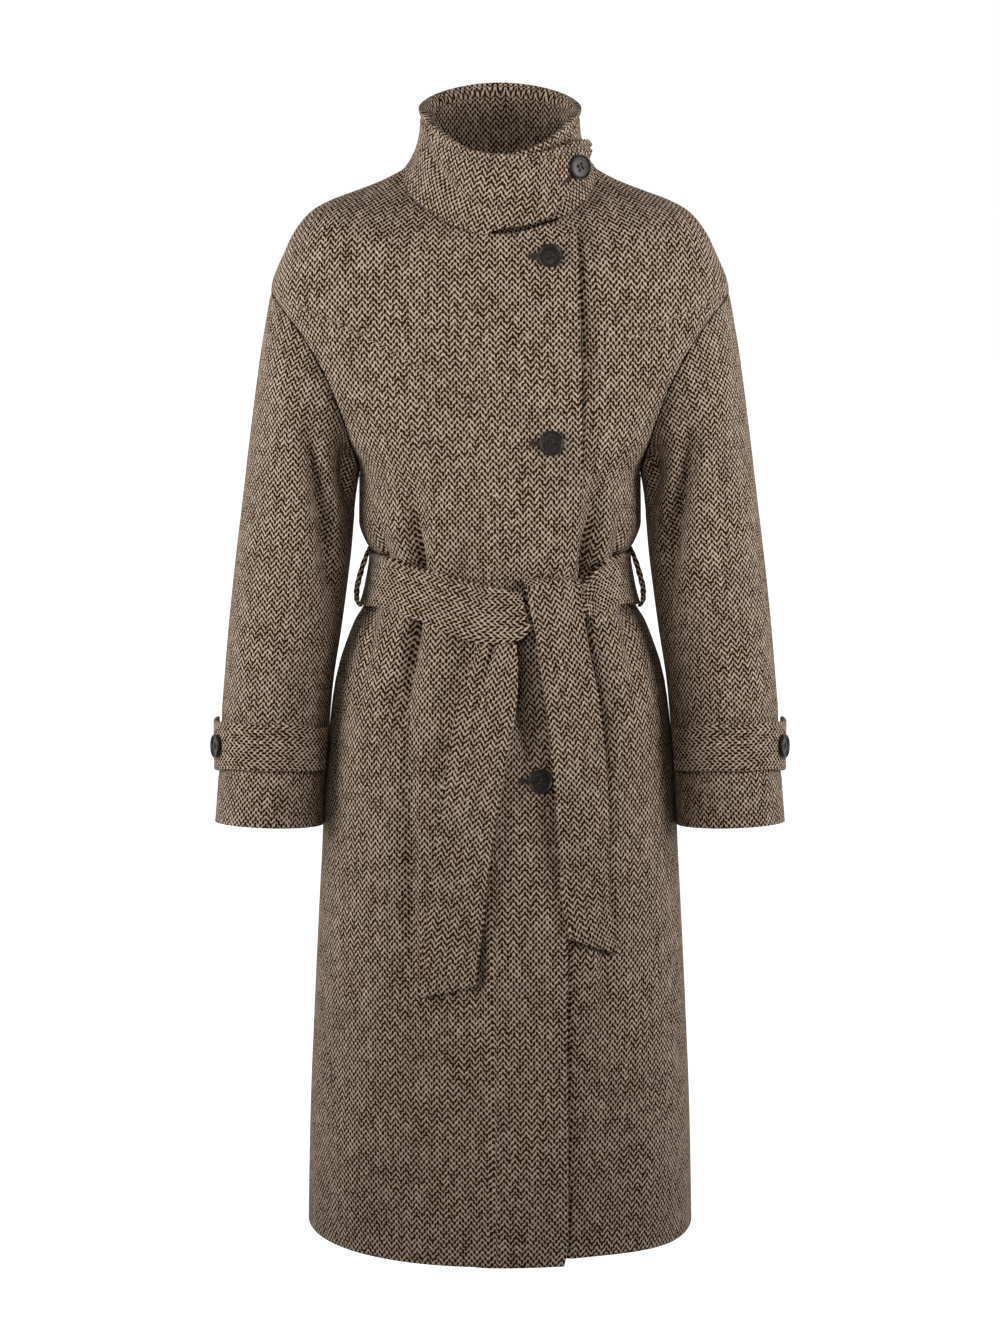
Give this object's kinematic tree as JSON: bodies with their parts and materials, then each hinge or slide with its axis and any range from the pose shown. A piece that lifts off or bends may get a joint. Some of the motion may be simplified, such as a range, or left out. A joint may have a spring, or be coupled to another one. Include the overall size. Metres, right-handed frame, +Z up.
{
  "type": "belted coat",
  "caption": "Belted herringbone tweed coat with a buttoned funnel collar, lapped front, dropped sleeves with cuff straps and a tied belt, hollow as if worn.",
  "frame": {"origin": "middle of the neck at the height of the shoulder seams, where the wearer's shoulders hold the coat", "axes": "+Z up along the body, -Y out of the front, +X to the wearer's left"},
  "size_m": [0.5902, 0.3576, 1.1791],
  "materials": {
    "tweed": "brushed wool",
    "lining_satin": "satin",
    "button_plastic": "polished"
  },
  "bodies": {
    "root": {"front_right": "tweed", "front_left": "tweed", "back": "tweed", "sleeve_right": "tweed", "sleeve_left": "tweed", "collar": "tweed", "lining_back_neck": "lining_satin", "cuff_strap_right": "tweed", "cuff_strap_left": "tweed", "belt": "tweed", "belt_tail_right": "tweed", "belt_tail_left": "tweed", "belt_loop_right": "tweed", "belt_loop_left": "tweed", "button_collar": "button_plastic", "button_front_1": "button_plastic", "button_front_2": "button_plastic", "button_front_3": "button_plastic", "button_cuff_right": "button_plastic", "button_cuff_left": "button_plastic"}
  },
  "joints": []
}
